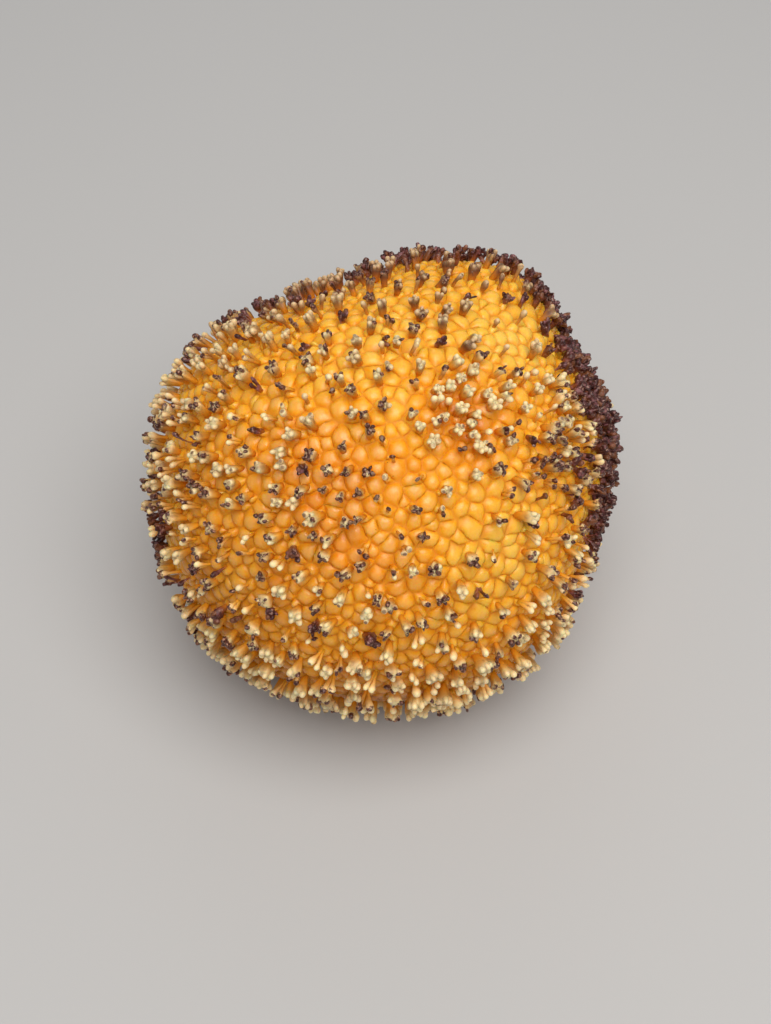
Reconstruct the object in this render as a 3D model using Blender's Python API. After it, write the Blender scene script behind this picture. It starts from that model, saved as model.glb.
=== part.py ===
"""Kadam fruit: one round fleshy head of crowded fruitlets, with calyx lobes still standing on it.

The head grew as one piece, so it is one closed mesh. Its surface is a mosaic of small cells. Most cells
swell into a dome, and the others are drawn out into a short stalk that opens into a crown of four lobes.
"""

import math
import random

import bmesh
import bpy
from mathutils import Vector

MM = 0.001

# Driving dimensions of the head, with the origin on the surface it rests on and +Z up
HEAD_CENTRE = Vector((0.47 * MM, 0.20 * MM, 23.9 * MM))
GROOVE_RADIUS = 24.1 * MM
DOME_HEIGHT = 1.25 * MM
CALYX_REACH = 27.4 * MM
GROUND_CLEARANCE = 0.25 * MM

# The mosaic of cells, at about one and a half times the size of real fruitlets
CELL_COUNT = 880
CALYX_COUNT = 310
CELL_JITTER = 0.16
SHORTEST_CELL_SIDE = 0.75 * MM
SEED = 7

# One calyx: a four-sided stalk that opens into a crown with four lobes
CROWN_LOBES = 4
STALK_RADIUS = 0.55 * MM
STALK_FOOT = 0.5 * MM
CROWN_RADIUS = 1.15 * MM
NOTCH_RADIUS = 0.72 * MM
NOTCH_DEPTH = 0.35 * MM
CUP_DEPTH = 0.4 * MM
SHORTEST_CALYX = 0.95 * MM
LENGTH_SPREAD = 0.16
LEAN = math.radians(9)

# The side that shows best looks forwards (-Y) and up by this much
FACE_RISE = math.radians(52)
FACE = Vector((0, -math.cos(FACE_RISE), math.sin(FACE_RISE)))
RIGHTWARD = Vector((1, 0, 0))
UPWARD = FACE.cross(RIGHTWARD)

# Swellings and hollows of the head's outline: bearing round that side (anticlockwise from the right),
# angle away from its middle, rise as a share of the radius, and angular spread
SWELLINGS = (
    (58, 78, 0.115, 17),
    (85, 80, 0.040, 13),
    (108, 80, -0.105, 30),
    (150, 84, 0.040, 20),
    (216, 82, 0.052, 42),
    (300, 82, 0.032, 26),
    (342, 80, -0.038, 26),
    (10, 84, 0.028, 14),
)

PULP_COLOUR = (0.86, 0.42, 0.08, 1)
PULP_ROUGHNESS = 0.45
CALYX_COLOUR = (0.82, 0.62, 0.34, 1)
CALYX_ROUGHNESS = 0.6


def bearing_direction(bearing, away):
    """The direction at this bearing round the showing side, and this far from its middle, in degrees."""
    turn, tilt = math.radians(bearing), math.radians(away)
    sideways = RIGHTWARD * math.cos(turn) + UPWARD * math.sin(turn)
    return FACE * math.cos(tilt) + sideways * math.sin(tilt)


def form(direction):
    """How far the head swells in this direction, as a share of its round shape."""
    swell = 1.0
    for bearing, away, rise, spread in SWELLINGS:
        angle = math.degrees(direction.angle(bearing_direction(bearing, away)))
        swell += rise * math.exp(-((angle / spread) ** 2))
    return swell


def on_head(direction, radius):
    """A point of the head at this radius, held back to the resting plane where it would pass it."""
    reach = radius * form(direction)
    if direction.z < 0:
        reach = min(reach, HEAD_CENTRE.z / -direction.z)
    return HEAD_CENTRE + direction * reach


def spread_directions(count, jitter, draw):
    """Directions spread evenly over a sphere on a golden spiral, each shifted a little."""
    turn = math.pi * (3 - math.sqrt(5))
    spacing = math.sqrt(4 * math.pi / count)
    directions = []
    for i in range(count):
        z = 1 - (2 * i + 1) / count
        ring = math.sqrt(1 - z * z)
        even = Vector((ring * math.cos(i * turn), ring * math.sin(i * turn), z))
        shift = Vector([draw.uniform(-1, 1) for _ in range(3)]) * jitter * spacing
        directions.append((even + shift).normalized())
    return directions


def side_frame(axis):
    """Two directions square to an axis and to each other, which turn anticlockwise seen from outside."""
    first = axis.orthogonal().normalized()
    return first, axis.cross(first)


def turn_about(point, centre, frame):
    """The angle of a point round a centre, in the plane of the two directions of a frame."""
    offset = point - centre
    return math.atan2(offset.dot(frame[1]), offset.dot(frame[0]))


def mosaic(directions):
    """The cells nearest to each direction: (corner directions, each cell's corners in order round it)."""
    hull = bmesh.new()
    for direction in directions:
        hull.verts.new(direction)
    hull.verts.index_update()
    bmesh.ops.convex_hull(hull, input=hull.verts[:])
    hull.faces.index_update()
    hull.normal_update()
    corners = [face.normal.copy() for face in hull.faces]
    cells = []
    for vertex, direction in zip(hull.verts, directions):
        frame = side_frame(direction)
        round_it = [face.index for face in vertex.link_faces]
        round_it.sort(key=lambda i: turn_about(corners[i], direction, frame))
        cells.append(round_it)
    hull.free()
    return corners, cells


def merged(corners, cells):
    """The same cells, with corners that lie very close together made one."""
    name = list(range(len(corners)))
    taken = set()
    for cell in cells:
        for i, j in zip(cell, cell[1:] + cell[:1]):
            apart = (corners[i] - corners[j]).length * GROOVE_RADIUS
            if apart < SHORTEST_CELL_SIDE and not {i, j} & taken:
                name[j] = i
                taken.update((i, j))
    named = [[name[i] for i in cell] for cell in cells]
    return [[a for a, b in zip(cell, cell[1:] + cell[:1]) if a != b] for cell in named]


def pick_calyx_cells(directions, draw):
    """The cells that carry a calyx: the nearest free one to each of a set of evenly spread directions."""
    chosen = set()
    for wanted in spread_directions(CALYX_COUNT, CELL_JITTER, draw):
        free = [i for i in range(len(directions)) if i not in chosen]
        chosen.add(max(free, key=lambda i: directions[i].dot(wanted)))
    return chosen


def longest_calyx(direction):
    """How far from its foot a calyx may reach here without touching the resting plane."""
    reach = (CALYX_REACH - GROOVE_RADIUS) * form(direction)
    if direction.z < 0:
        foot = GROOVE_RADIUS * form(direction)
        crown_drop = CROWN_RADIUS * math.hypot(direction.x, direction.y)
        to_ground = HEAD_CENTRE.z - GROUND_CLEARANCE - crown_drop
        reach = min(reach, to_ground / -direction.z - foot)
    return reach


def add_dome(mesh, rim, direction):
    """A cell that swells to a low dome."""
    top = mesh.verts.new(on_head(direction, GROOVE_RADIUS + DOME_HEIGHT))
    for a, b in zip(rim, rim[1:] + rim[:1]):
        mesh.faces.new((a, b, top)).material_index = 0


def ring_round(mesh, centre, frame, radii, heights, axis, twist):
    """A ring of vertices round a centre, with these radii and heights in turn."""
    ring = []
    for k in range(len(radii)):
        angle = twist + 2 * math.pi * k / len(radii)
        outward = frame[0] * math.cos(angle) + frame[1] * math.sin(angle)
        ring.append(mesh.verts.new(centre + outward * radii[k] + axis * heights[k]))
    return ring


def stitch(mesh, lower, upper, centre, frame, slot):
    """Joins two rings with triangles, walking round both in step by angle."""
    base = [turn_about(v.co, centre, frame) for v in lower]
    top = [turn_about(v.co, centre, frame) for v in upper]
    first = min(range(len(lower)), key=lambda i: abs(math.remainder(base[i] - top[0], math.tau)))
    lower = lower[first:] + lower[:first]
    base = base[first:] + base[:first]
    walk_base = [math.remainder(base[0] - top[0], math.tau)]
    walk_top = [0.0]
    for i in range(len(lower)):
        walk_base.append(walk_base[-1] + (base[(i + 1) % len(base)] - base[i]) % math.tau)
    for j in range(len(upper)):
        walk_top.append(walk_top[-1] + (top[(j + 1) % len(top)] - top[j]) % math.tau)
    i = j = 0
    while i < len(lower) or j < len(upper):
        a, b = lower[i % len(lower)], upper[j % len(upper)]
        if j == len(upper) or (i < len(lower) and walk_base[i + 1] <= walk_top[j + 1]):
            i += 1
            face = (a, lower[i % len(lower)], b)
        else:
            j += 1
            face = (a, upper[j % len(upper)], b)
        mesh.faces.new(face).material_index = slot


def add_calyx(mesh, rim, direction, reach, draw):
    """A cell drawn out into a stalk and a crown of lobes, leaning a little."""
    foot = on_head(direction, GROOVE_RADIUS)
    lean = Vector([draw.uniform(-1, 1) for _ in range(3)]) * math.sin(LEAN)
    axis = (direction + lean).normalized()
    frame = side_frame(axis)
    twist = draw.uniform(0, math.tau)
    height = max(SHORTEST_CALYX, reach * (1 - draw.uniform(0, LENGTH_SPREAD)))
    stalk_radii = [STALK_RADIUS] * CROWN_LOBES
    stalk_heights = [STALK_FOOT] * CROWN_LOBES
    crown_radii = [CROWN_RADIUS, NOTCH_RADIUS] * CROWN_LOBES
    crown_heights = [height, height - NOTCH_DEPTH] * CROWN_LOBES
    stalk = ring_round(mesh, foot, frame, stalk_radii, stalk_heights, axis, twist)
    crown = ring_round(mesh, foot, frame, crown_radii, crown_heights, axis, twist)
    cup = mesh.verts.new(foot + axis * (height - CUP_DEPTH))
    stitch(mesh, rim, stalk, foot, side_frame(axis), 0)
    stitch(mesh, stalk, crown, foot, frame, 1)
    for a, b in zip(crown, crown[1:] + crown[:1]):
        mesh.faces.new((a, b, cup)).material_index = 1


def head_mesh():
    """The whole head as one closed mesh."""
    draw = random.Random(SEED)
    directions = spread_directions(CELL_COUNT, CELL_JITTER, draw)
    corners, cells = mosaic(directions)
    cells = merged(corners, cells)
    calyx_cells = pick_calyx_cells(directions, draw)
    mesh = bmesh.new()
    used = sorted({i for cell in cells for i in cell})
    grooves = {i: mesh.verts.new(on_head(corners[i], GROOVE_RADIUS)) for i in used}
    for number, (direction, cell) in enumerate(zip(directions, cells)):
        rim = [grooves[i] for i in cell]
        reach = longest_calyx(direction)
        if number in calyx_cells and reach >= SHORTEST_CALYX:
            add_calyx(mesh, rim, direction, reach, draw)
        else:
            add_dome(mesh, rim, direction)
    return mesh


def material(name, colour, roughness):
    made = bpy.data.materials.new(name)
    made.use_nodes = True
    shader = made.node_tree.nodes["Principled BSDF"]
    shader.inputs["Base Color"].default_value = colour
    shader.inputs["Roughness"].default_value = roughness
    shader.inputs["Metallic"].default_value = 0
    return made


def clear_scene():
    for old in list(bpy.data.objects):
        bpy.data.objects.remove(old)


def main():
    clear_scene()
    mesh = head_mesh()
    data = bpy.data.meshes.new("kadam_head")
    mesh.to_mesh(data)
    mesh.free()
    data.materials.append(material("pulp", PULP_COLOUR, PULP_ROUGHNESS))
    data.materials.append(material("calyx", CALYX_COLOUR, CALYX_ROUGHNESS))
    head = bpy.data.objects.new("kadam_head", data)
    bpy.context.scene.collection.objects.link(head)


main()
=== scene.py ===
"""Looks of the kadam fruit: waxy golden domes, and calyces with cream, tan or dried, purple-brown lobes.

The pulp is one mosaic of cells that swell into domes or rise to a calyx. Each calyx has one to five lobes
shaped like clubs, fused low down where there are three or more. All of it follows the form of the CAD head.
"""

import math

import bmesh
import bpy
import numpy as np
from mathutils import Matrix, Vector


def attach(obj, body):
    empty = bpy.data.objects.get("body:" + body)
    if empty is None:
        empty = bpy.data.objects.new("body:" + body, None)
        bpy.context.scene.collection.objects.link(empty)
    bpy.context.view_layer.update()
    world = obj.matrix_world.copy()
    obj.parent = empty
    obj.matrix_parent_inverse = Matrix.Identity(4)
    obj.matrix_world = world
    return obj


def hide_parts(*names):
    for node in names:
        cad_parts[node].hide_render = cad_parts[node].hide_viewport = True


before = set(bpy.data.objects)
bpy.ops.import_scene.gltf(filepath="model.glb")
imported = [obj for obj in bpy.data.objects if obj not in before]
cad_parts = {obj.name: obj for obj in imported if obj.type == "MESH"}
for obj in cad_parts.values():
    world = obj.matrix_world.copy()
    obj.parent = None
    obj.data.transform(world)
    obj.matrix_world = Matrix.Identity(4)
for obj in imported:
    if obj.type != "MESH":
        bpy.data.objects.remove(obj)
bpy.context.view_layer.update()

MM = 0.001
SEED = 11

# The upright share of an axis from which it counts as steep
STEEP = 0.9

# The head, in the CAD frame: its middle, its radius at the grooves between the domes, the usual height of
# a dome, and how far from the middle the calyces reach
HEAD_CENTRE = np.array((0.47, 0.20, 23.9)) * MM
GROOVE_RADIUS = 24.9 * MM
DOME_HEIGHT = 0.42 * MM
CALYX_REACH = 27.9 * MM

# The side that shows best looks forwards (-Y) and up by this much
FACE_RISE = math.radians(52)
FACE = np.array((0, -math.cos(FACE_RISE), math.sin(FACE_RISE)))
RIGHTWARD = np.array((1.0, 0, 0))
UPWARD = np.cross(FACE, RIGHTWARD)

# Regions of the head are given as seen from that side: bearing round it (anticlockwise from the right), angle
# away from its middle, how much they add, and their angular spread, with all angles in degrees
SWELLINGS = (
    (58, 78, 0.115, 17),
    (85, 80, 0.040, 13),
    (108, 80, -0.105, 30),
    (150, 84, 0.040, 20),
    (216, 82, 0.052, 42),
    (300, 82, 0.032, 26),
    (342, 80, -0.038, 26),
    (10, 84, 0.028, 14),
)

# The least distance from calyx to calyx, in millimetres
SPACING = 1.72
SPACING_REGIONS = (
    (328, 40, 0.5, 19),
    (50, 52, 1.8, 10),
    (40, 25, -0.9, 10),
    (26, 54, -0.55, 12),
    (-2, 40, -0.55, 14),
    (135, 66, -0.15, 24),
    (180, 72, -0.2, 20),
    (50, 80, -0.6, 16),
    (25, 78, -0.6, 18),
    (2, 78, -0.6, 17),
    (80, 86, -0.45, 18),
    (270, 80, 0.12, 28),
)

# Share of the calyces that have dried all through
DRIED = 0.03
DRIED_REGIONS = (
    (50, 82, 1.0, 12),
    (30, 75, 1.1, 18),
    (4, 76, 1.2, 17),
    (-14, 80, 0.8, 14),
    (66, 86, 1.0, 12),
    (88, 84, 1.0, 13),
    (128, 86, 0.5, 9),
    (120, 76, 0.16, 16),
    (108, 44, 0.50, 14),
    (76, 84, 0.7, 13),
    (26, 50, -0.35, 12),
    (42, 25, -0.1, 12),
    (147, 86, 0.8, 8),
    (195, 84, 0.8, 13),
    (-2, 39, 0.2, 14),
    (218, 50, 0.3, 16),
    (275, 70, -0.03, 30),
)

# How far the dried calyces lie matted together
MATTED_REGIONS = (
    (48, 84, 1.0, 15),
    (28, 80, 1.0, 16),
    (8, 79, 1.0, 16),
    (-12, 86, 0.8, 12),
    (195, 86, 0.7, 12),
)

# Share of the lobes on the other calyces whose tips have browned
BROWNED = 0.30
BROWNED_REGIONS = (
    (90, 0, 0.35, 26),
    (248, 14, 0.25, 18),
    (-2, 40, 1.0, 15),
    (190, 40, 0.3, 20),
    (214, 50, 0.65, 22),
    (120, 66, 0.05, 26),
    (280, 66, -0.35, 34),
    (35, 24, -0.8, 11),
)

# Share of all lobes whose tips are dimpled
DIMPLED = 0.12
DIMPLED_REGIONS = (
    (270, 8, 0.35, 24),
)

# How widely the lobes of a calyx spread
FLARE = 1.0
FLARE_REGIONS = (
    (270, 74, 0.45, 36),
    (84, 62, -0.2, 30),
    (0, 0, -0.12, 34),
    (200, 70, 0.16, 34),
)

# How far the fresh calyces have dulled, from pale cream (0) to streaky brown (1)
DULLED = 0.04
DULLED_REGIONS = (
    (114, 72, 0.76, 34),
    (68, 62, 0.80, 27),
    (10, 60, 0.35, 22),
    (180, 76, 0.2, 24),
    (35, 24, -0.3, 12),
    (26, 52, -0.3, 12),
)

# How far the pulp's colour goes from deep orange (0) to yellow (1)
WARMTH = 0.5
WARMTH_REGIONS = (
    (190, 12, -0.35, 22),
    (40, 24, -0.6, 10),
    (48, 50, 0.45, 15),
    (75, 14, 0.35, 7),
    (329, 32, 0.3, 14),
    (95, 32, 0.3, 18),
    (200, 60, -0.1, 30),
    (280, 60, -0.1, 24),
)

# How far painted shade deepens the pulp's colour to amber, most along the lower rim
SHADE_DEEPENING = 0.0
SHADE_DEEPENING_REGIONS = (
    (270, 86, 1.0, 24),
    (232, 86, 1.0, 22),
    (308, 90, 0.8, 18),
    (215, 55, 0.3, 20),
    (40, 24, 0.3, 10),
)

# How much longer the calyces are, as a share of the room for them
LENGTHENED = 0.0
LENGTHENED_REGIONS = (
    (55, 52, -0.22, 20),
    (100, 45, -0.18, 20),
    (225, 50, -0.15, 18),
    (40, 25, -0.2, 10),
)

# The pulp's mosaic: cells with a calyx are smaller, and the size of the others varies more
CELL_COUNT = 3700
CELL_JITTER = 0.3
CELLS_DROPPED = 0.05
CELLS_DROPPED_REGIONS = (
    (322, 46, 0.20, 22),
    (52, 52, 0.16, 12),
)
CALYX_CELL_WEIGHT = -0.00035
DOME_CELL_WEIGHTS = (-0.0002, 0.0006)
FEWEST_CORNERS = 3

# The rings of a cell: their place from its middle (0) to its border (1), how round they are, and how far
# aside the cell's top may lie, as a share of its size
RING_STEPS = (0.38, 0.68, 0.89)
RING_ROUNDING = (1.0, 0.85, 0.5)
APEX_SHIFT = 0.09

# The height of a cell at its top and at each ring, as a share of its full height. Domes grow with their
# width, and a spire stands below each calyx
DOME_PROFILE = (1.0, 0.89, 0.58, 0.21)
DOME_HEIGHT_SPREAD = (0.8, 1.15)
DOME_GROWTH = 0.75
SPIRE_PROFILE = (1.0, 0.88, 0.50, 0.16)
SPIRE_HEIGHT = 0.55 * MM
CORNER_DEPTH = 0.03 * MM

# The value between 0 and 1 that cells share along their borders
BORDER_VALUE = 0.5

# The calyces: the odds of one lobe, two and so on, and the number from which lobes share a body
LOBE_COUNT_ODDS = (0.14, 0.18, 0.26, 0.28, 0.14)
MOST_LOBES = len(LOBE_COUNT_ODDS)
FEWEST_SHARING = 3
SPACING_SPREAD = (0.82, 1.12)
CALYX_FOOT = 0.25 * MM
CALYX_LENGTHS = (0.76, 1.08)
FLARE_SPREAD = (0.78, 1.18)
GIRTHS = (0.84, 1.14)
BROWNING_SPREAD = 0.5
DULLED_SPREAD = 0.12

# Values for a fresh calyx, then what drying adds, and what matting adds
LEAN = (0.17, 0.12, 0.25)
BEND = (0.20 * MM, 0.20 * MM, 0.30 * MM)
SWAY = (0.07 * MM, 0.18 * MM, 0.20 * MM)
TWIST = (0.2, 1.0, 0.6)
BODY_WRINKLE = (0.03, 0.06, 0.05)
LOBE_WRINKLE = (0.05, 0.09, 0.04)
LENGTH_SHARE = (1.0, -0.16, -0.04)
SPREADING = (1.0, 0.05, 0.35)
GIRTH = (1.0, -0.2, 0.0)

# The wrinkles of a tube: how often each wave goes round it, and how far its phase shifts from foot to tip,
# in radians
WRINKLE_WAVES = ((2, 9), (3, -14), (1, 24))

# The shared body: narrow at its foot, widest near its top, with a ridge below each lobe. Its tops are for
# three lobes, four and five
BODY_SIDES = 12
BODY_STEPS = np.array((0, 0.35, 0.65, 0.85, 0.97))
BODY_TOP = 0.86
BODY_ROOT = 0.36 * MM
BODY_TOPS = (0.56 * MM, 0.64 * MM, 0.71 * MM)
BODY_FLARED_BY = 0.9
BODY_CLOSING = 0.7
BODY_HOLLOW = 0.1
BODY_FLATNESS = 0.95
DRIED_BODY_FLATNESS = 0.82
RIDGE_HEIGHT = 0.14

# How browned a shared body is, as a share of how browned its lobes are
BODY_BROWNING = 0.75

# The lobes: a stalk, then a knob. The tips' offsets are for one lobe in a calyx, two and so on. The roots'
# values are for free lobes, then for those on a shared body
LOBE_SIDES = 8
LOBE_STARTS = (0.45, 0.66)
LOBE_TURN_SPREAD = 0.26
LOBE_LENGTHS = (0.84, 1.0)
TIP_OFFSETS = (0.0, 0.36 * MM, 0.40 * MM, 0.46 * MM, 0.53 * MM)
TIP_OFFSET_SPREAD = (0.72, 1.24)
ROOT_OFFSET_SHARES = (0.15, 0.55)
ROOT_RADII = (0.20 * MM, 0.26 * MM)
STALK_WIDENING = 0.1
LOBE_SPREAD_BY = 0.95
KNOB_RADII = (0.30 * MM, 0.42 * MM)
SINGLE_KNOB = 1.15
BROWNED_KNOB = 0.95
DRIED_KNOB = 0.85
KNOB_STRETCH = (1.0, 1.5)
KNOB_RINGS = np.array((-0.75, 0.0, 0.6, 0.87))
BROWNED_WRINKLE = 0.13
PLUMP_FLATNESS = (0.74, 1.0)
WITHERED_FLATNESS = (0.5, 0.88)
BROWNED_DEPTHS = (0.14, 0.42)
STALK_STEPS = {"grouped": (0.0, 0.55), "free": (0.0, 0.35, 0.7)}
TIP_ROUNDING = 0.13
DIMPLE_DEPTH = 0.35

# The value kept for a lobe is below this, or above it where its tip is dimpled
DIMPLED_VALUE = 0.5

# How much painted shade darkens the flesh in the creases between lobes, added to its dulling
CREASE_SHADE = 0.4

# Whatever is lower than this is pressed flat above the surface the fruit rests on
PRESS_HEIGHT = 0.8 * MM

# No calyx stands on the resting spot, where the direction from the middle of the head has a Z below this
BARE_SPOT_Z = -0.95

# The camera, at the photograph's viewing angle, aimed a little below the middle of the head
CAMERA_DISTANCE = 174 * MM
CAMERA_LENS = 52.1
CAMERA_DROP = 3.8 * MM
CLIP_START = 10 * MM

# Colours of the pulp as (red, green, blue), and a ramp from its deepest tone to its yellowest, which has the
# place of each colour before it
PULP_TONES = (
    (0.0, 0.80, 0.25, 0.004),
    (0.5, 0.92, 0.43, 0.014),
    (1.0, 0.98, 0.58, 0.080),
)
# A painted peach highlight on the tops of the domes, in place of the waxy sheen's reflection
PEACH_HIGHLIGHT = (0.95, 0.49, 0.15)
# Painted shade on the pulp: deeper orange towards the edges of the domes, and a darker line in the grooves
EDGE_SHADE_ORANGE = (0.80, 0.27, 0.004)
GROOVE_SHADE_ORANGE = (0.60, 0.18, 0.004)
# The amber of the painted shade on the pulp
SHADE_AMBER = (0.38, 0.12, 0.004)
SPECK_BROWN = (0.20, 0.07, 0.015)

# Colours of the calyces, with ramps from root to tip, and one from dark to light for the bark on browned
# tips, whose pale end is partly painted highlight
FRESH_TONES = (
    (0.0, 0.88, 0.37, 0.016),
    (0.28, 0.82, 0.35, 0.020),
    (0.52, 0.84, 0.44, 0.09),
    (0.72, 1.0, 0.66, 0.28),
    (0.90, 1.0, 0.79, 0.43),
)
DULL_TONES = (
    (0.0, 0.78, 0.31, 0.016),
    (0.30, 0.44, 0.14, 0.02),
    (0.58, 0.17, 0.060, 0.025),
    (0.80, 0.30, 0.155, 0.065),
    (1.0, 0.74, 0.51, 0.28),
)
BARK_AND_HIGHLIGHT_TONES = (
    (0.34, 0.038, 0.011, 0.009),
    (0.52, 0.12, 0.038, 0.024),
    (0.68, 0.46, 0.26, 0.16),
)
DRIED_TONES = (
    (0.0, 0.66, 0.23, 0.015),
    (0.28, 0.28, 0.075, 0.016),
    (0.55, 0.10, 0.025, 0.015),
    (1.0, 0.042, 0.012, 0.011),
)
MATTED_TONES = (
    (0.0, 0.22, 0.06, 0.012),
    (0.5, 0.07, 0.019, 0.014),
    (1.0, 0.045, 0.013, 0.012),
)
STREAK_BROWN = (0.17, 0.062, 0.025)
DIMPLE_BROWN = (0.24, 0.13, 0.07)
# Patches on dried lobes, partly their own colour and partly painted highlight
MAUVE_AND_SHEEN = (0.27, 0.105, 0.110)
PAPERY_AND_HIGHLIGHT = (0.48, 0.28, 0.22)
RUST = (0.28, 0.10, 0.03)

# Sizes of the features in the materials, heights of their grain, and how far light goes into the flesh
PULP_DRIFT_SIZE = 5 * MM
PULP_PATCH_SIZE = 0.9 * MM
WAX_PATCH_SIZE = 0.8 * MM
SPECK_SPACING = 1.5 * MM
PULP_GRAIN_SIZE = 0.18 * MM
PULP_GRAIN_HEIGHT = 0.02 * MM
PULP_DEPTH_OF_LIGHT = 1.2 * MM
STREAK_SIZE = 0.4 * MM
BARK_AND_HIGHLIGHT_PATCH_SIZE = 0.26 * MM
LOBE_GRAIN_SIZE = 0.2 * MM
LOBE_GRAIN_HEIGHT = 0.04 * MM
LOBE_DEPTH_OF_LIGHT = 0.4 * MM
MAUVE_AND_SHEEN_PATCH_SIZE = 0.6 * MM
PAPERY_AND_HIGHLIGHT_PATCH_SIZE = 0.35 * MM
DRIED_GRAIN_SIZE = 0.25 * MM
DRIED_GRAIN_HEIGHT = 0.08 * MM

# How the pulp's material carries values: the range a value comes from, then the range it goes to
# Where the painted peach highlight goes: on orange pulp, on some cells, and towards the tops of the domes
HIGHLIGHT_BY_TONE = ((0.75, 0.2), (0.2, 1.0))
HIGHLIGHT_BY_CELL = ((0.1, 0.9), (0.3, 0.8))
HIGHLIGHT_BY_EDGE = ((0.8, 0.35), (0.0, 1.0))
# Painted shade towards the edges of the domes and along the grooves
EDGE_SHADE_BY_EDGE = ((0.5, 1.1), (0.0, 0.75))
GROOVE_SHADE_LINE = ((0.85, 1.0), (0.0, 0.18))
SPECK_BY_DISTANCE = ((0.05, 0.03), (0.0, 0.8))
WAX_ROUGHNESS = ((0.3, 0.7), (0.22, 0.36))
GROOVE_ROUGHNESS = ((0.75, 1.0), (0.0, 0.4))

# The same for the calyces
STREAKS_BY_NOISE = ((0.52, 0.7), (0.0, 1.0))
STREAKS_BY_PLACE = ((0.15, 0.4), (0.0, 1.0))
SHADE_BY_TINT = ((0.0, 1.0), (0.93, 1.0))
BROWNED_BY_DEPTH = ((0.0, 0.1), (0.0, 1.0))
BROWNED_BY_MARK = ((0.02, 0.1), (0.0, 1.0))
DIMPLE_BY_VALUE = ((DIMPLED_VALUE - 0.01, DIMPLED_VALUE), (0.0, 1.0))
DIMPLE_BY_PLACE = ((0.93, 0.99), (0.0, 1.0))
BROWNED_ROUGHNESS = ((0.0, 1.0), (0.45, 0.3))
# Where the mauve and pale papery patches go, partly painted highlight
MAUVE_AND_SHEEN_BY_NOISE = ((0.49, 0.65), (0.0, 0.78))
PAPERY_AND_HIGHLIGHT_BY_NOISE = ((0.56, 0.68), (0.0, 0.75))
RUST_BY_VALUE = ((0.76 * DIMPLED_VALUE, DIMPLED_VALUE), (0.0, 0.5))

# How widely the pulp's tone, the edge of its orange and the depth of the browning vary
TONE_DRIFT = 0.5
TONE_BY_CELL = 0.24
EDGE_DRIFT = 0.6
BROWNING_DRIFT = 0.5

# The most painted amber shade in the pulp, and the streaks on calyces: how much dulling adds to them, and how
# strong they are without it
MOST_SHADE_AMBER = 0.85
STREAKS_BY_DULLING = (0.6, 0.15)

# The floor, the lamps (place and size in metres, power, colour) and the even light around
FLOOR_SIZE = 3
FLOOR_COLOUR = (0.52, 0.51, 0.50)
FLOOR_ROUGHNESS = 0.9
LAMPS = {
    "overhead": ((0.07, -0.18, 0.50), 0.5, 2.85, (1.0, 0.98, 0.95)),
    "rear": ((0.0, 0.45, 0.35), 0.4, 0.25, (0.96, 0.98, 1.0)),
}
SURROUND_COLOUR = (0.95, 0.97, 1.0, 1)
SURROUND_STRENGTH = 0.26


def bearing_direction(bearing, away):
    """The direction at this bearing round the showing side, and this far from its middle, in degrees."""
    turn, tilt = math.radians(bearing), math.radians(away)
    sideways = RIGHTWARD * math.cos(turn) + UPWARD * math.sin(turn)
    return FACE * math.cos(tilt) + sideways * math.sin(tilt)


def regional(directions, base, regions):
    """A base value plus what each region adds there."""
    value = np.full(len(directions), float(base))
    for bearing, away, amount, spread in regions:
        cosine = np.clip(directions @ bearing_direction(bearing, away), -1, 1)
        angle = np.degrees(np.arccos(cosine))
        value += amount * np.exp(-((angle / spread) ** 2))
    return value


def form(directions):
    """How far the head swells in each direction, as a share of its round shape."""
    return regional(directions, 1, SWELLINGS)


def normalized(vectors):
    return vectors / np.linalg.norm(vectors, axis=-1, keepdims=True)


def pressed(points):
    """The points with whatever is low squeezed into the little room above the resting surface."""
    low = points[..., 2] < PRESS_HEIGHT
    squeezed = PRESS_HEIGHT * np.exp((points[..., 2] - PRESS_HEIGHT) / PRESS_HEIGHT)
    points[..., 2] = np.where(low, squeezed, points[..., 2])
    return points


def side_frames(axes):
    """Two directions square to each axis and to each other."""
    steep = np.abs(axes[:, 2:3]) >= STEEP
    helper = np.where(steep, (1.0, 0.0, 0.0), (0.0, 0.0, 1.0))
    first = normalized(np.cross(helper, axes))
    return first, np.cross(axes, first)


def spread_directions(count, jitter, draw):
    """Directions spread evenly over a sphere on a golden spiral, each shifted a little."""
    number = np.arange(count)
    turn = number * math.pi * (3 - math.sqrt(5))
    z = 1 - (2 * number + 1) / count
    ring = np.sqrt(1 - z * z)
    even = np.stack((ring * np.cos(turn), ring * np.sin(turn), z), 1)
    spacing = math.sqrt(4 * math.pi / count)
    return normalized(even + draw.uniform(-1, 1, (count, 3)) * jitter * spacing)


def mosaic(directions, weights):
    """The cells nearest to each direction, the heavier ones larger: (every corner's direction, the numbers of
    each cell's corners in order round it)."""
    hull = bmesh.new()
    for direction, weight in zip(directions, weights):
        hull.verts.new(direction * (1 + weight))
    hull.verts.index_update()
    bmesh.ops.convex_hull(hull, input=hull.verts[:])
    hull.faces.index_update()
    hull.normal_update()
    corners = np.array([face.normal for face in hull.faces])
    first, second = side_frames(directions)
    cells = []
    for number, vertex in enumerate(hull.verts):
        round_it = np.array([face.index for face in vertex.link_faces], int)
        offsets = corners[round_it] - directions[number]
        turns = np.arctan2(offsets @ second[number], offsets @ first[number])
        cells.append(round_it[np.argsort(turns)])
    hull.free()
    return corners, cells


def pick_calyx_cells(directions, draw):
    """Whether each cell carries a calyx. Calyces are no closer than the spacing in their region allows."""
    spacing = regional(directions, SPACING, SPACING_REGIONS) * draw.uniform(*SPACING_SPREAD, len(directions))
    reach = spacing * MM / GROOVE_RADIUS
    chosen = []
    for number in draw.permutation(len(directions)):
        if directions[number][2] < BARE_SPOT_Z:
            continue
        apart = np.linalg.norm(directions[chosen] - directions[number], axis=1)
        if np.all(apart > reach[number]):
            chosen.append(number)
    carries = np.zeros(len(directions), bool)
    carries[chosen] = True
    return carries


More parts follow.
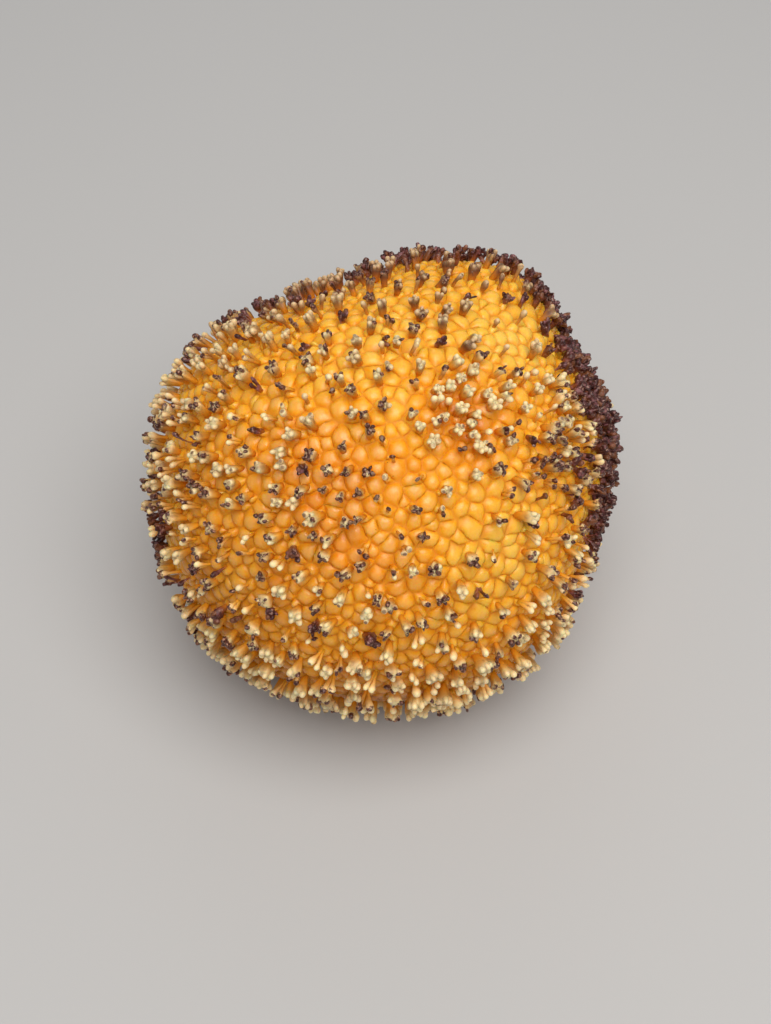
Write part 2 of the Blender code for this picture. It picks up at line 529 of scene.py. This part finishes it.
def new_mesh_piece(name, points, triangles, marks, material):
    """A smooth-shaded piece that stands for the head, with four marks at each point for its material."""
    mesh = bpy.data.meshes.new(name)
    mesh.vertices.add(len(points))
    mesh.vertices.foreach_set("co", np.asarray(points, np.float32).ravel())
    mesh.loops.add(triangles.size)
    mesh.loops.foreach_set("vertex_index", triangles.astype(np.int32).ravel())
    mesh.polygons.add(len(triangles))
    mesh.polygons.foreach_set("loop_start", np.arange(0, triangles.size, 3, dtype=np.int32))
    mesh.update(calc_edges=True)
    mesh.validate()
    layer = mesh.color_attributes.new("marks", "FLOAT_COLOR", "POINT")
    rgba = np.concatenate((marks[:, :3], np.ones((len(points), 1))), 1)
    layer.data.foreach_set("color", rgba.astype(np.float32).ravel())
    # The fourth mark: painted shade on the pulp; on the calyces, dulling with painted shade in the creases
    dulling_and_shade = mesh.attributes.new("dulling_and_shade", "FLOAT", "POINT")
    dulling_and_shade.data.foreach_set("value", marks[:, 3].astype(np.float32))
    mesh.shade_smooth()
    mesh.materials.append(material)
    piece = bpy.data.objects.new(name, mesh)
    bpy.context.scene.collection.objects.link(piece)
    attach(piece, "root")
    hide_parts("kadam_head")
    return piece


def cell_border(corners, cell, shared_middles):
    """A cell's border, each corner followed by the middle of a side: (directions, numbers of the points).
    Cells that meet share these points."""
    directions, numbers = [], []
    for here, after in zip(cell, np.roll(cell, -1)):
        key = (min(here, after), max(here, after))
        if key not in shared_middles:
            shared_middles[key] = len(corners) + len(shared_middles)
        directions += [corners[here], (corners[here] + corners[after]) / 2]
        numbers += [here, shared_middles[key]]
    return normalized(np.array(directions)), numbers


def ring_triangles(outer, inner):
    """The triangles between two rings of the same length, or between a ring and one point."""
    after_outer = np.roll(outer, -1)
    if len(inner) == 1:
        return np.stack((outer, after_outer, np.repeat(inner, len(outer))), 1)
    lower = np.stack((outer, after_outer, inner), 1)
    upper = np.stack((after_outer, np.roll(inner, -1), inner), 1)
    return np.concatenate((lower, upper))


def cell_rings(border, middle, shift, profile):
    """The rings inside a cell's border, from the outermost to its top, which is one point: (directions, place
    from the middle to the border, share of the cell's height) for each."""
    offsets = border - middle
    lengths = np.linalg.norm(offsets, axis=1, keepdims=True)
    rounded = offsets * lengths.mean() / lengths
    for step, rounding, rise in reversed(list(zip(RING_STEPS, RING_ROUNDING, profile[1:]))):
        blend = offsets * (1 - rounding) + rounded * rounding
        yield middle + blend * step + shift * (1 - step**2), step, rise
    yield (middle + shift)[None], 0.0, profile[0]


def pulp_mesh(corners, cells, carries, draw):
    """The pulp's points, each cell's triangles, and marks: nearness to a groove, a value for each cell,
    warmth and depth of painted shade."""
    shared_middles = {}
    borders = [cell_border(corners, cell, shared_middles) for cell in cells]
    shared_count = len(corners) + len(shared_middles)
    shared_directions = np.zeros((shared_count, 3))
    middles = normalized(np.array([border.mean(0) for border, _ in borders]))
    sizes = np.array([
        np.linalg.norm(border - middle, axis=1).mean() for (border, _), middle in zip(borders, middles)
    ])
    heights = DOME_HEIGHT * (sizes / sizes.mean()) ** DOME_GROWTH
    heights = heights * draw.uniform(*DOME_HEIGHT_SPREAD, len(cells))
    heights = np.where(carries, SPIRE_HEIGHT, heights)
    cell_values = draw.uniform(0, 1, len(cells))
    apex_shifts = draw.uniform(-APEX_SHIFT, APEX_SHIFT, (len(cells), 3)) * sizes[:, None]
    inner_directions, inner_heights, inner_marks, triangles = [], [], [], []
    next_number = shared_count
    for number, (border, border_numbers) in enumerate(borders):
        shared_directions[border_numbers] = border
        profile = SPIRE_PROFILE if carries[number] else DOME_PROFILE
        outer = np.array(border_numbers)
        cell_triangles = []
        for ring, step, rise in cell_rings(border, middles[number], apex_shifts[number], profile):
            inner_directions.append(ring)
            inner_heights += [heights[number] * rise] * len(ring)
            inner_marks += [(step, cell_values[number])] * len(ring)
            inner = next_number + np.arange(len(ring))
            next_number += len(ring)
            cell_triangles.append(ring_triangles(outer, inner))
            outer = inner
        triangles.append(np.concatenate(cell_triangles))
    every = normalized(np.concatenate([shared_directions] + inner_directions))
    depth = np.zeros(shared_count)
    depth[:len(corners)] = -CORNER_DEPTH
    rise = np.concatenate((depth, inner_heights))
    points = HEAD_CENTRE + every * ((GROOVE_RADIUS + rise) * form(every))[:, None]
    marks = np.ones((len(every), 4))
    marks[shared_count:, :2] = inner_marks
    marks[:shared_count, 1] = BORDER_VALUE
    marks[:, 2] = np.clip(regional(every, WARMTH, WARMTH_REGIONS), 0, 1)
    # The fourth mark is painted shade, deepest along the lower rim
    marks[:, 3] = np.clip(regional(every, SHADE_DEEPENING, SHADE_DEEPENING_REGIONS), 0, 1)
    return pressed(points), triangles, marks


def smoothstep(value):
    value = np.clip(value, 0, 1)
    return value * value * (3 - 2 * value)


def by_state(values, rows):
    """A value for fresh calyces, with what drying adds and what matting adds."""
    fresh, drying, matting = values
    return fresh + drying * rows["dried"] + matting * rows["matted"]


def calyces_of(directions, draw):
    """One row of values for each calyx, as a dictionary of arrays."""
    count = len(directions)
    dried = draw.uniform(0, 1, count) < regional(directions, DRIED, DRIED_REGIONS)
    matted = np.clip(regional(directions, 0, MATTED_REGIONS), 0, 1) * dried
    state = {"dried": dried, "matted": matted}
    swell = form(directions)
    room = (CALYX_REACH - GROOVE_RADIUS - CALYX_FOOT) * swell
    lobes = draw.choice(np.arange(MOST_LOBES) + 1, count, p=LOBE_COUNT_ODDS)
    flare = regional(directions, FLARE, FLARE_REGIONS) * draw.uniform(*FLARE_SPREAD, count)
    browning = regional(directions, BROWNED, BROWNED_REGIONS) + draw.normal(0, BROWNING_SPREAD, count)
    dulled = regional(directions, DULLED, DULLED_REGIONS) + draw.normal(0, DULLED_SPREAD, count)
    lengths = regional(directions, LENGTHENED, LENGTHENED_REGIONS) + draw.uniform(*CALYX_LENGTHS, count)
    return state | {
        "axis": normalized(directions + draw.normal(0, 1, (count, 3)) * by_state(LEAN, state)[:, None]),
        "foot": HEAD_CENTRE + directions * ((GROOVE_RADIUS + CALYX_FOOT) * swell)[:, None],
        "reach": room * lengths * by_state(LENGTH_SHARE, state),
        "lobes": np.maximum(lobes, np.rint(MOST_LOBES * matted).astype(int)),
        "turn": draw.uniform(0, math.tau, count),
        "flare": flare * by_state(SPREADING, state),
        "girth": draw.uniform(*GIRTHS, count) * by_state(GIRTH, state),
        "browning": browning,
        "dimpling": regional(directions, DIMPLED, DIMPLED_REGIONS),
        "dulled": np.clip(dulled, 0, 1),
        "value": draw.uniform(0, 1, count),
        "bend": draw.normal(0, 1, (count, 2)) * by_state(BEND, state)[:, None],
        "phase": draw.uniform(0, math.tau, (count, 3)),
        "away": np.degrees(np.arccos(np.clip(directions @ FACE, -1, 1))),
    }


def lobes_of(calyces, draw):
    """One row of values for each lobe of each calyx, as a dictionary of arrays."""
    numbers = calyces["lobes"]
    owner = np.repeat(np.arange(len(numbers)), numbers)
    total = len(owner)
    place = np.concatenate([np.arange(n) for n in numbers])
    own = {key: values[owner] for key, values in calyces.items()}
    grouped = own["lobes"] >= FEWEST_SHARING
    browned = draw.uniform(0, 1, total) < own["browning"]
    withered = browned | own["dried"]
    dimple = draw.uniform(0, 1, total) < own["dimpling"]
    knob = draw.uniform(*KNOB_RADII, total) * np.sqrt(own["flare"])
    knob *= np.where(own["lobes"] == 1, SINGLE_KNOB, 1)
    knob *= np.where(own["dried"], DRIED_KNOB, np.where(browned, BROWNED_KNOB, 1))
    tip = np.choose(own["lobes"] - 1, TIP_OFFSETS) * own["flare"] * draw.uniform(*TIP_OFFSET_SPREAD, total)
    plump, flat = draw.uniform(*PLUMP_FLATNESS, total), draw.uniform(*WITHERED_FLATNESS, total)
    wrinkle = np.where(browned & ~own["dried"], BROWNED_WRINKLE, by_state(LOBE_WRINKLE, own))
    return own | {
        "angle": own["turn"] + math.tau * place / own["lobes"] + draw.normal(0, LOBE_TURN_SPREAD, total),
        "grouped": grouped,
        "length": own["reach"] * draw.uniform(*LOBE_LENGTHS, total),
        "start": np.where(grouped, draw.uniform(*LOBE_STARTS, total), 0.0),
        "root_offset": tip * np.choose(grouped.astype(int), ROOT_OFFSET_SHARES),
        "tip_offset": tip,
        "sway": draw.normal(0, 1, total) * by_state(SWAY, own),
        "twist": draw.normal(0, 1, total) * by_state(TWIST, own),
        "root_radius": np.choose(grouped.astype(int), ROOT_RADII) * own["girth"],
        "knob_radius": knob,
        "stretch": draw.uniform(*KNOB_STRETCH, total),
        "flatness": np.where(withered, flat, plump),
        "wrinkle": wrinkle,
        "phase": draw.uniform(0, math.tau, (total, 3)),
        "brown": np.where(own["dried"], own["matted"], browned * draw.uniform(*BROWNED_DEPTHS, total)),
        "dimple": dimple,
        "value": DIMPLED_VALUE * draw.uniform(0, 1, total) + DIMPLED_VALUE * dimple,
    }


def waves_round(phase, along, theta):
    """Wrinkles round and along tubes, from about -3 to 3: one value for each ring and side."""
    phase, along = phase[:, :, None, None], along[..., None]
    waves = zip(WRINKLE_WAVES, np.moveaxis(phase, 1, 0))
    return sum(np.sin(times * theta + start + turn * along) for (times, turn), start in waves)


def trough(angle):
    """0 on the ridges of a wave round a tube, and 1 halfway between them."""
    return 0.5 - 0.5 * np.cos(angle)


def bent_middle(rows, along, outward, offset, sideways=0.0):
    """Points on the middle lines of tubes that start at their calyx's foot and bend with it."""
    first, second = side_frames(rows["axis"])
    bend = rows["bend"]
    swing = (first * bend[:, :1] + second * bend[:, 1:])[:, None] * (along**2)[..., None]
    across = np.cross(rows["axis"], outward)
    lifted = rows["axis"][:, None] * (along * rows["reach"][:, None])[..., None]
    swayed = sideways * along**2
    aside = outward[:, None] * offset[..., None] + across[:, None] * swayed[..., None]
    return rows["foot"][:, None] + lifted + swing + aside


def tube_mesh(middle, radius, first, flatness, twist, tip_rise, along):
    """Closed tubes: (points, triangles, each point's place along its tube). The points of each tube are its
    rings, then its root and its tip."""
    total, steps, sides = radius.shape
    tangent = normalized(np.gradient(middle, axis=1))
    across = normalized(first[:, None] - tangent * (first[:, None] * tangent).sum(-1, keepdims=True))
    beside = np.cross(tangent, across)
    turn = (twist[:, None] * along)[..., None]
    wide = (across * np.cos(turn) + beside * np.sin(turn))[:, :, None]
    narrow = (beside * np.cos(turn) - across * np.sin(turn))[:, :, None] * flatness[:, None, None, None]
    theta = math.tau * np.arange(sides)[:, None] / sides
    rings = middle[:, :, None] + (wide * np.cos(theta) + narrow * np.sin(theta)) * radius[..., None]
    tips = middle[:, -1] + tangent[:, -1] * tip_rise[:, None]
    points = np.concatenate((rings.reshape(total, -1, 3), middle[:, :1], tips[:, None]), 1)
    numbers = np.arange(steps * sides).reshape(steps, sides)
    parts = [ring_triangles(numbers[k], numbers[k + 1]) for k in range(steps - 1)]
    root_number, tip_number = steps * sides, steps * sides + 1
    parts.append(np.stack((np.roll(numbers[0], -1), numbers[0], np.full(sides, root_number)), 1))
    parts.append(np.stack((numbers[-1], np.roll(numbers[-1], -1), np.full(sides, tip_number)), 1))
    one = np.concatenate(parts)
    triangles = one[None] + np.arange(total)[:, None, None] * points.shape[1]
    places = np.concatenate((np.repeat(along, sides, axis=1), along[:, :1], along[:, -1:]), 1)
    return points.reshape(-1, 3), triangles.reshape(-1, 3), places


def marks_of(places, rows, crease):
    """The marks of tubes: place along the calyx, browning (of dried ones, matting), value and how far it has
    dulled, with painted shade added on the rings' points that lie in a crease."""
    marks = np.zeros(places.shape + (4,))
    marks[..., 0] = places
    for channel, key in ((1, "brown"), (2, "value"), (3, "dulled")):
        marks[..., channel] = rows[key][:, None]
    # Painted shade in the creases between lobes, carried as extra dulling
    marks[:, :-2, 3] += CREASE_SHADE * crease.reshape(len(places), -1)
    return marks.reshape(-1, 4)


def body_mesh(rows):
    """The shared bodies of calyces: they flare upwards, ridged below each lobe, and close at the top."""
    along = BODY_STEPS[None] * BODY_TOP * np.ones((len(rows["reach"]), 1))
    theta = math.tau * np.arange(BODY_SIDES) / BODY_SIDES
    top = np.choose(rows["lobes"] - FEWEST_SHARING, BODY_TOPS) * rows["flare"] * rows["girth"]
    root = BODY_ROOT * rows["girth"]
    flared = root[:, None] + (top - root)[:, None] * smoothstep(BODY_STEPS[None] / BODY_FLARED_BY)
    closed = np.sqrt(1 - np.clip((BODY_STEPS - BODY_CLOSING) / (1 - BODY_CLOSING), 0, 1) ** 2)
    rising = smoothstep(BODY_STEPS / BODY_CLOSING)[None, :, None]
    ridges = 1 + RIDGE_HEIGHT * np.cos(rows["lobes"][:, None] * theta)[:, None] * rising
    waves = 1 + by_state(BODY_WRINKLE, rows)[:, None, None] * waves_round(rows["phase"], along, theta)
    radius = (flared * closed)[..., None] * ridges * waves
    first, second = side_frames(rows["axis"])
    turn = rows["turn"][:, None]
    outward = first * np.cos(turn) + second * np.sin(turn)
    middle = bent_middle(rows, along, outward, along * 0)
    flatness = np.where(rows["dried"], DRIED_BODY_FLATNESS, BODY_FLATNESS)
    untwisted = np.zeros(len(top))
    points, triangles, places = tube_mesh(
        middle, radius, outward, flatness, untwisted, -BODY_HOLLOW * top, along
    )
    crease = trough(rows["lobes"][:, None] * theta)[:, None] * rising
    return points, triangles, marks_of(places, rows, crease)


def lobe_mesh(rows, stalk_steps):
    """Lobes: a stalk, then a round or longish knob with a closed or dimpled end."""
    length, knob = rows["length"][:, None], rows["knob_radius"][:, None]
    knob_half = knob * rows["stretch"][:, None]
    knob_centre = length - knob_half
    start = rows["start"][:, None] * length
    stalk = start + (knob_centre + KNOB_RINGS[0] * knob_half - start) * np.array(stalk_steps)[None]
    along = np.concatenate((stalk, knob_centre + KNOB_RINGS[None] * knob_half), 1) / length
    root = rows["root_radius"][:, None]
    stalk_radius = root * (1 + STALK_WIDENING * along[:, :stalk.shape[1]])
    knob_radius = np.maximum(np.sqrt(1 - KNOB_RINGS[None] ** 2) * knob, root * (KNOB_RINGS < 0)[None])
    theta = math.tau * np.arange(LOBE_SIDES) / LOBE_SIDES
    waves = 1 + rows["wrinkle"][:, None, None] * waves_round(rows["phase"], along, theta)
    radius = np.concatenate((stalk_radius, knob_radius), 1)[..., None] * waves
    first, second = side_frames(rows["axis"])
    turn = rows["angle"][:, None]
    outward = first * np.cos(turn) + second * np.sin(turn)
    spreading = smoothstep((along - rows["start"][:, None]) / (LOBE_SPREAD_BY - rows["start"][:, None]))
    offset = rows["root_offset"][:, None] + (rows["tip_offset"] - rows["root_offset"])[:, None] * spreading
    middle = bent_middle(rows | {"reach": rows["length"]}, along, outward, offset, rows["sway"][:, None])
    tip_rise = np.where(rows["dimple"], -DIMPLE_DEPTH, TIP_ROUNDING) * rows["knob_radius"]
    points, triangles, places = tube_mesh(
        middle, radius, outward, rows["flatness"], rows["twist"], tip_rise, along
    )
    crease = trough(theta) * np.ones(radius.shape) * rows["grouped"][:, None, None]
    return points, triangles, marks_of(places, rows, crease)


class Shader:
    """A material's node tree, with short calls for the few kinds of node that the materials need."""

    def __init__(self, name):
        self.material = bpy.data.materials.new(name)
        self.material.use_nodes = True
        self.tree = self.material.node_tree
        self.surface = self.tree.nodes["Principled BSDF"]

    def node(self, kind, inputs=(), **settings):
        made = self.tree.nodes.new(kind)
        for name, value in settings.items():
            setattr(made, name, value)
        for name, value in inputs:
            self.feed(made.inputs[name], value)
        return made

    def feed(self, socket, value):
        """A socket linked to another, or set to a number, a vector or a (red, green, blue) colour."""
        if isinstance(value, bpy.types.NodeSocket):
            self.tree.links.new(value, socket)
        elif socket.type == "RGBA":
            socket.default_value = (*value, 1)
        else:
            socket.default_value = value

    def set(self, name, value):
        self.feed(self.surface.inputs[name], value)

    def marks(self):
        """The four values kept in the mesh."""
        attribute = self.node("ShaderNodeAttribute", attribute_name="marks")
        split = self.node("ShaderNodeSeparateColor", [("Color", attribute.outputs["Color"])])
        dulling_and_shade = self.node("ShaderNodeAttribute", attribute_name="dulling_and_shade")
        return split.outputs["Red"], split.outputs["Green"], split.outputs["Blue"], dulling_and_shade.outputs["Fac"]

    def noise(self, size, detail=2.0):
        """A noise value from 0 to 1 whose features are about this large."""
        place = self.node("ShaderNodeTexCoord").outputs["Object"]
        inputs = [("Vector", place), ("Scale", 1 / size), ("Detail", detail)]
        return self.node("ShaderNodeTexNoise", inputs).outputs["Fac"]

    def speck_distance(self, spacing):
        """The distance to the nearest of a set of scattered points, as a share of their spacing."""
        place = self.node("ShaderNodeTexCoord").outputs["Object"]
        inputs = [("Vector", place), ("Scale", 1 / spacing)]
        return self.node("ShaderNodeTexVoronoi", inputs).outputs["Distance"]

    def math(self, operation, *values):
        made = self.node("ShaderNodeMath", operation=operation)
        for socket, value in zip(made.inputs, values):
            self.feed(socket, value)
        return made.outputs[0]

    def add(self, first, second):
        return self.math("ADD", first, second)

    def multiply(self, first, second):
        return self.math("MULTIPLY", first, second)

    def centred(self, value, range_width):
        """A value from 0 to 1 carried to a range of this width round zero."""
        return self.math("MULTIPLY_ADD", value, range_width, -range_width / 2)

    def rescaled(self, value, span, to):
        """The value carried smoothly from one range to another, and held at its ends."""
        made = self.node("ShaderNodeMapRange", interpolation_type="SMOOTHSTEP")
        for socket, number in zip(made.inputs, (value, *span, *to)):
            self.feed(socket, number)
        return made.outputs[0]

    def ramp(self, value, stops):
        """The colour at this value, between stops of (place, red, green, blue)."""
        made = self.node("ShaderNodeValToRGB", [("Fac", value)])
        elements = made.color_ramp.elements
        while len(elements) < len(stops):
            elements.new(0.5)
        for element, (place, *colour) in zip(elements, stops):
            element.position = place
            element.color = (*colour, 1)
        return made.outputs["Color"]

    def mix(self, share, first, second, blend="MIX"):
        made = self.node("ShaderNodeMix", data_type="RGBA", blend_type=blend)
        colours = [socket for socket in made.inputs if socket.type == "RGBA"]
        self.feed(made.inputs[0], share)
        self.feed(colours[0], first)
        self.feed(colours[1], second)
        return [socket for socket in made.outputs if socket.type == "RGBA"][0]

    def bump(self, height, distance, strength):
        inputs = [("Height", height), ("Distance", distance), ("Strength", strength)]
        self.set("Normal", self.node("ShaderNodeBump", inputs).outputs["Normal"])


def pulp_material():
    """Waxy flesh, yellow to deep orange by region, with painted shade towards the edges of the domes, in the
    grooves and along the lower rim, and a painted peach highlight on orange tops.
    """
    shader = Shader("pulp")
    groove, cell, warmth, shade_deepening = shader.marks()
    drift = shader.centred(shader.noise(PULP_DRIFT_SIZE), TONE_DRIFT)
    tone = shader.add(shader.add(warmth, drift), shader.centred(cell, TONE_BY_CELL))
    flesh = shader.ramp(tone, PULP_TONES)
    edge = shader.add(groove, shader.centred(shader.noise(PULP_PATCH_SIZE), EDGE_DRIFT))
    # The painted highlight: peach on the tops of domes on orange pulp, in place of the waxy sheen's
    # reflection
    highlight_on_orange = shader.rescaled(tone, *HIGHLIGHT_BY_TONE)
    painted_highlight = shader.multiply(highlight_on_orange, shader.rescaled(cell, *HIGHLIGHT_BY_CELL))
    top = shader.multiply(shader.rescaled(edge, *HIGHLIGHT_BY_EDGE), painted_highlight)
    flesh = shader.mix(top, flesh, PEACH_HIGHLIGHT)
    # Painted shade: deeper orange towards the edges of the domes, darker still along the grooves
    flesh = shader.mix(shader.rescaled(edge, *EDGE_SHADE_BY_EDGE), flesh, EDGE_SHADE_ORANGE)
    flesh = shader.mix(shader.rescaled(groove, *GROOVE_SHADE_LINE), flesh, GROOVE_SHADE_ORANGE)
    # Painted shade: deeper amber, most along the lower rim
    flesh = shader.mix(shader.multiply(shade_deepening, MOST_SHADE_AMBER), flesh, SHADE_AMBER)
    speck = shader.rescaled(shader.speck_distance(SPECK_SPACING), *SPECK_BY_DISTANCE)
    flesh = shader.mix(speck, flesh, SPECK_BROWN)
    shader.set("Base Color", flesh)
    waxy = shader.rescaled(shader.noise(WAX_PATCH_SIZE), *WAX_ROUGHNESS)
    shader.set("Roughness", shader.add(waxy, shader.rescaled(groove, *GROOVE_ROUGHNESS)))
    shader.set("Specular IOR Level", 0.4)
    shader.set("Subsurface Weight", 0.6)
    shader.set("Subsurface Radius", (1.0, 0.55, 0.10))
    shader.set("Subsurface Scale", PULP_DEPTH_OF_LIGHT)
    shader.bump(shader.noise(PULP_GRAIN_SIZE, detail=3.0), PULP_GRAIN_HEIGHT, strength=0.5)
    return shader.material


def fresh_calyx_material():
    """Fleshy lobes: golden at the root, then tan, then cream, with streaks, painted shade in the creases,
    browned tips with pale patches that are partly painted highlight, and soft dimples.
    """
    shader = Shader("calyx_fresh")
    # The dulled mark also carries painted shade in the creases between lobes
    along, brown, value, dulled = shader.marks()
    flesh = shader.mix(dulled, shader.ramp(along, FRESH_TONES), shader.ramp(along, DULL_TONES))
    most_streaks = shader.math("MULTIPLY_ADD", dulled, *STREAKS_BY_DULLING)
    streaks = shader.rescaled(shader.noise(STREAK_SIZE, detail=3.0), *STREAKS_BY_NOISE)
    above_root = shader.rescaled(along, *STREAKS_BY_PLACE)
    streaks = shader.multiply(shader.multiply(streaks, most_streaks), above_root)
    flesh = shader.mix(streaks, flesh, STREAK_BROWN)
    tint = shader.math("FRACT", shader.multiply(value, 1 / DIMPLED_VALUE))
    shade = shader.rescaled(tint, *SHADE_BY_TINT)
    grey = shader.node("ShaderNodeCombineColor", [("Red", shade), ("Green", shade), ("Blue", shade)])
    flesh = shader.mix(1.0, flesh, grey.outputs[0], blend="MULTIPLY")
    wavering = shader.centred(shader.noise(STREAK_SIZE), BROWNING_DRIFT)
    depth = shader.add(shader.math("SUBTRACT", shader.add(along, brown), 1.0), wavering)
    browned = shader.multiply(
        shader.rescaled(depth, *BROWNED_BY_DEPTH), shader.rescaled(brown, *BROWNED_BY_MARK)
    )
    # Browned tips: dark bark with pale lilac patches that are partly painted highlight
    flesh = shader.mix(browned, flesh, shader.ramp(shader.noise(BARK_AND_HIGHLIGHT_PATCH_SIZE, detail=3.0), BARK_AND_HIGHLIGHT_TONES))
    has_dimple = shader.rescaled(value, *DIMPLE_BY_VALUE)
    dimple = shader.multiply(shader.rescaled(along, *DIMPLE_BY_PLACE), has_dimple)
    flesh = shader.mix(dimple, flesh, DIMPLE_BROWN)
    shader.set("Base Color", flesh)
    shader.set("Roughness", shader.rescaled(browned, *BROWNED_ROUGHNESS))
    shader.set("Specular IOR Level", 0.4)
    shader.set("Subsurface Weight", 0.45)
    shader.set("Subsurface Radius", (1.0, 0.6, 0.3))
    shader.set("Subsurface Scale", LOBE_DEPTH_OF_LIGHT)
    shader.bump(shader.noise(LOBE_GRAIN_SIZE, detail=3.0), LOBE_GRAIN_HEIGHT, strength=0.6)
    return shader.material


def dried_calyx_material():
    """Dried lobes: glossy, wrinkled and purple-brown, with mauve and pale papery patches that are partly
    their own colour and partly painted highlight, and a rusty root.
    """
    shader = Shader("calyx_dried")
    along, matted, value, _ = shader.marks()
    skin = shader.mix(matted, shader.ramp(along, DRIED_TONES), shader.ramp(along, MATTED_TONES))
    # Mauve and pale papery patches: partly the dried skin's own colour, partly painted highlight
    mauve_and_sheen = shader.rescaled(shader.noise(MAUVE_AND_SHEEN_PATCH_SIZE, detail=4.0), *MAUVE_AND_SHEEN_BY_NOISE)
    skin = shader.mix(mauve_and_sheen, skin, MAUVE_AND_SHEEN)
    papery_and_highlight = shader.rescaled(shader.noise(PAPERY_AND_HIGHLIGHT_PATCH_SIZE, detail=3.0), *PAPERY_AND_HIGHLIGHT_BY_NOISE)
    skin = shader.mix(papery_and_highlight, skin, PAPERY_AND_HIGHLIGHT)
    rust = shader.rescaled(value, *RUST_BY_VALUE)
    skin = shader.mix(rust, skin, RUST)
    shader.set("Base Color", skin)
    shader.set("Roughness", 0.3)
    shader.set("Specular IOR Level", 0.3)
    shader.bump(shader.noise(DRIED_GRAIN_SIZE, detail=4.0), DRIED_GRAIN_HEIGHT, strength=0.9)
    return shader.material


def make_pulp(directions, corners, cells, carries, draw):
    """The pulp in two pieces of whole cells: the side that shows, and the back."""
    points, triangles, marks = pulp_mesh(corners, cells, carries, draw)
    material = pulp_material()
    in_front = directions @ FACE > 0
    for name, members in (("pulp_front", in_front), ("pulp_back", ~in_front)):
        chosen = np.concatenate([cell for cell, member in zip(triangles, members) if member])
        used, renumbered = np.unique(chosen, return_inverse=True)
        new_mesh_piece(name, points[used], renumbered.reshape(-1, 3), marks[used], material)


def joined(meshes):
    """Several meshes' points, triangles and marks as one."""
    counts = np.cumsum([0] + [len(points) for points, _, _ in meshes])
    points = np.concatenate([points for points, _, _ in meshes])
    triangles = np.concatenate([triangles + start for (_, triangles, _), start in zip(meshes, counts)])
    return points, triangles, np.concatenate([marks for _, _, marks in meshes])


def chosen_rows(rows, members):
    return {key: values[members] for key, values in rows.items()}


def make_calyces(directions, draw):
    """The fresh calyces in three pieces, from the showing side to the back, and the dried ones in one."""
    calyces = calyces_of(directions, draw)
    lobes = lobes_of(calyces, draw)
    owner = np.repeat(np.arange(len(directions)), calyces["lobes"])
    # From here on these are the values of the shared bodies, which have no dimple
    calyces["brown"] = BODY_BROWNING * np.bincount(owner, lobes["brown"]) / calyces["lobes"]
    calyces["value"] = calyces["value"] * DIMPLED_VALUE
    fresh_material, dried_material = fresh_calyx_material(), dried_calyx_material()
    cuts = np.quantile(lobes["away"][~lobes["dried"]], (1 / 3, 2 / 3))
    pieces = [
        ("calyces_front", False, 0, fresh_material, "calyx_fresh"),
        ("calyces_middle", False, 1, fresh_material, "calyx_fresh"),
        ("calyces_back", False, 2, fresh_material, "calyx_fresh"),
        ("calyces_dried", True, None, dried_material, "calyx_dried"),
    ]
    for name, dried, group, material, slot in pieces:
        meshes = []
        for rows, kind in ((calyces, "body"), (lobes, "grouped"), (lobes, "free")):
            members = rows["dried"] == dried
            if group is not None:
                members &= np.digitize(rows["away"], cuts) == group
            members &= (rows["lobes"] >= FEWEST_SHARING) == (kind != "free")
            few = chosen_rows(rows, members)
            if kind == "body":
                meshes.append(body_mesh(few))
            else:
                meshes.append(lobe_mesh(few, STALK_STEPS[kind]))
        points, triangles, marks = joined(meshes)
        new_mesh_piece(name, pressed(points), triangles, marks, material)


def make_floor():
    """A plain pale floor."""
    bpy.ops.mesh.primitive_plane_add(size=FLOOR_SIZE)
    floor = bpy.context.object
    floor.name = "floor"
    shader = Shader("floor")
    shader.set("Base Color", FLOOR_COLOUR)
    shader.set("Roughness", FLOOR_ROUGHNESS)
    floor.data.materials.append(shader.material)


def add_lamp(name, place, size, power, colour):
    """A round lamp that is turned towards the head."""
    light = bpy.data.lights.new(name, "AREA")
    light.shape = "DISK"
    light.size = size
    light.energy = power
    light.color = colour
    lamp = bpy.data.objects.new(name, light)
    bpy.context.scene.collection.objects.link(lamp)
    lamp.location = place
    lamp.rotation_euler = (Vector(HEAD_CENTRE) - Vector(place)).to_track_quat("-Z", "Y").to_euler()


def make_lights():
    """Soft studio light: a broad overhead lamp, a weak one behind and an even surrounding."""
    for name, settings in LAMPS.items():
        add_lamp(name, *settings)
    world = bpy.data.worlds.new("studio")
    world.use_nodes = True
    backdrop = world.node_tree.nodes["Background"]
    backdrop.inputs["Color"].default_value = SURROUND_COLOUR
    backdrop.inputs["Strength"].default_value = SURROUND_STRENGTH
    bpy.context.scene.world = world


def make_camera():
    """The camera at the photograph's viewing angle, with the fruit a little above the middle of the frame."""
    camera = bpy.data.objects.new("camera", bpy.data.cameras.new("camera"))
    bpy.context.scene.collection.objects.link(camera)
    camera.data.lens = CAMERA_LENS
    camera.data.clip_start = CLIP_START
    target = HEAD_CENTRE - UPWARD * CAMERA_DROP
    camera.location = target + FACE * CAMERA_DISTANCE
    camera.rotation_euler = Vector(-FACE).to_track_quat("-Z", "Y").to_euler()
    bpy.context.scene.camera = camera


def main():
    draw = np.random.default_rng(SEED)
    directions = spread_directions(CELL_COUNT, CELL_JITTER, draw)
    dropped = regional(directions, CELLS_DROPPED, CELLS_DROPPED_REGIONS)
    directions = directions[draw.uniform(0, 1, CELL_COUNT) > dropped]
    carries = pick_calyx_cells(directions, draw)
    weights = np.where(carries, CALYX_CELL_WEIGHT, draw.uniform(*DOME_CELL_WEIGHTS, len(directions)))
    corners, cells = mosaic(directions, weights)
    # A light cell can be squeezed out by its neighbours, and then has no corners
    kept = np.array([len(cell) >= FEWEST_CORNERS for cell in cells])
    directions, carries = directions[kept], carries[kept]
    cells = [cell for cell, keep in zip(cells, kept) if keep]
    make_pulp(directions, corners, cells, carries, draw)
    make_calyces(directions[carries], draw)
    make_floor()
    make_lights()
    make_camera()
    bpy.context.scene.view_settings.view_transform = "Standard"


main()
